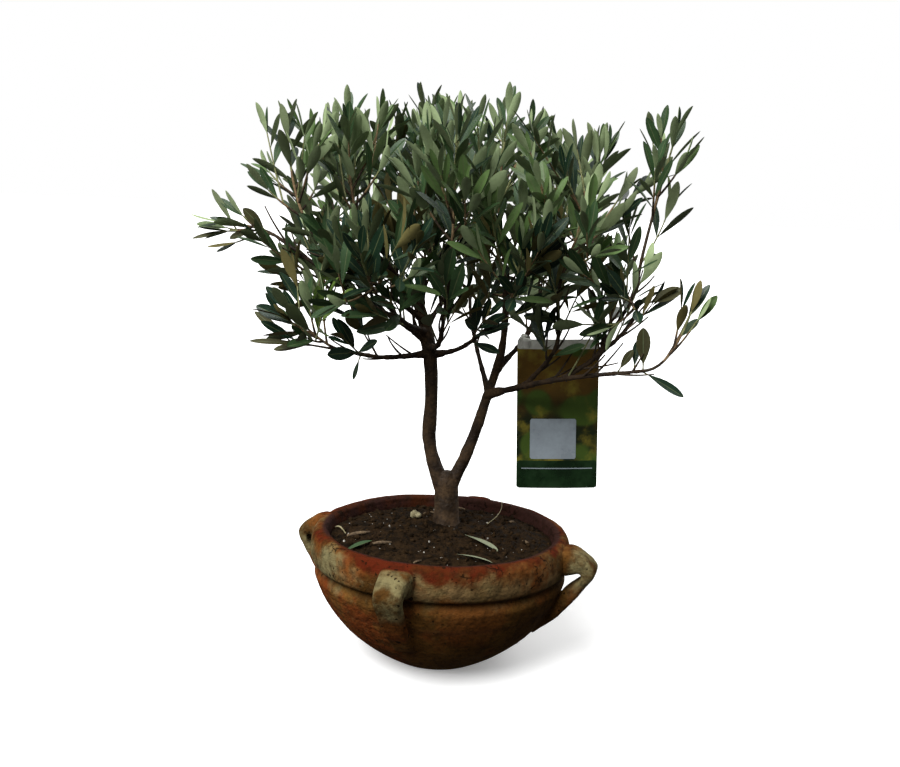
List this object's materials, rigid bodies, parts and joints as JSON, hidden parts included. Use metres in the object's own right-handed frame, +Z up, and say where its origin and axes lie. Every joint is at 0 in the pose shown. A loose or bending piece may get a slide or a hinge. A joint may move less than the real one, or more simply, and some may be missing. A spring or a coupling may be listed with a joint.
{
  "type": "potted olive bonsai",
  "caption": "Small olive tree with a forked trunk, spreading boughs and a rounded leafy crown, planted in a round terracotta bowl with strap handles and a hanging card tag.",
  "frame": {"origin": "centre of the bowl's flat underside, where it meets the ground", "axes": "+Z up along the bowl's axis; the strap handles lie on +X (right), +Y (back), -X (left) and -Y (front)"},
  "size_m": [0.4095, 0.3192, 0.4562],
  "materials": {
    "terracotta": "unglazed, weathered",
    "soil": "crumbly, matte",
    "bark": "rough, matte",
    "foliage": "leathery, low sheen",
    "card": "printed, satin"
  },
  "bodies": {
    "root": {"bowl": "terracotta", "soil": "soil", "right_handle": "terracotta", "back_handle": "terracotta", "left_handle": "terracotta", "front_handle": "terracotta", "trunk": "bark", "left_stem": "bark", "right_stem": "bark", "low_left_bough": "bark", "left_bough": "bark", "outer_left_bough": "bark", "upper_left_bough": "bark", "back_left_bough": "bark", "top_left_bough": "bark", "top_bough": "bark", "front_bough": "bark", "front_left_bough": "bark", "inner_bough": "bark", "back_bough": "bark", "middle_bough": "bark", "low_right_bough": "bark", "right_front_bough": "bark", "right_bough": "bark", "right_side_bough": "bark", "outer_right_bough": "bark", "back_right_bough": "bark", "low_back_bough": "bark", "top_right_bough": "bark", "top_foliage": "foliage", "top_left_foliage": "foliage", "top_right_foliage": "foliage", "front_foliage": "foliage", "upper_left_foliage": "foliage", "right_foliage": "foliage", "back_left_foliage": "foliage", "back_foliage": "foliage", "back_right_foliage": "foliage", "outer_right_foliage": "foliage", "left_foliage": "foliage", "left_tip_foliage": "foliage", "low_left_foliage": "foliage", "front_left_foliage": "foliage", "inner_foliage": "foliage", "middle_foliage": "foliage", "right_front_foliage": "foliage", "right_side_foliage": "foliage", "low_right_foliage": "foliage", "low_back_foliage": "foliage", "tag": "card"}
  },
  "joints": []
}
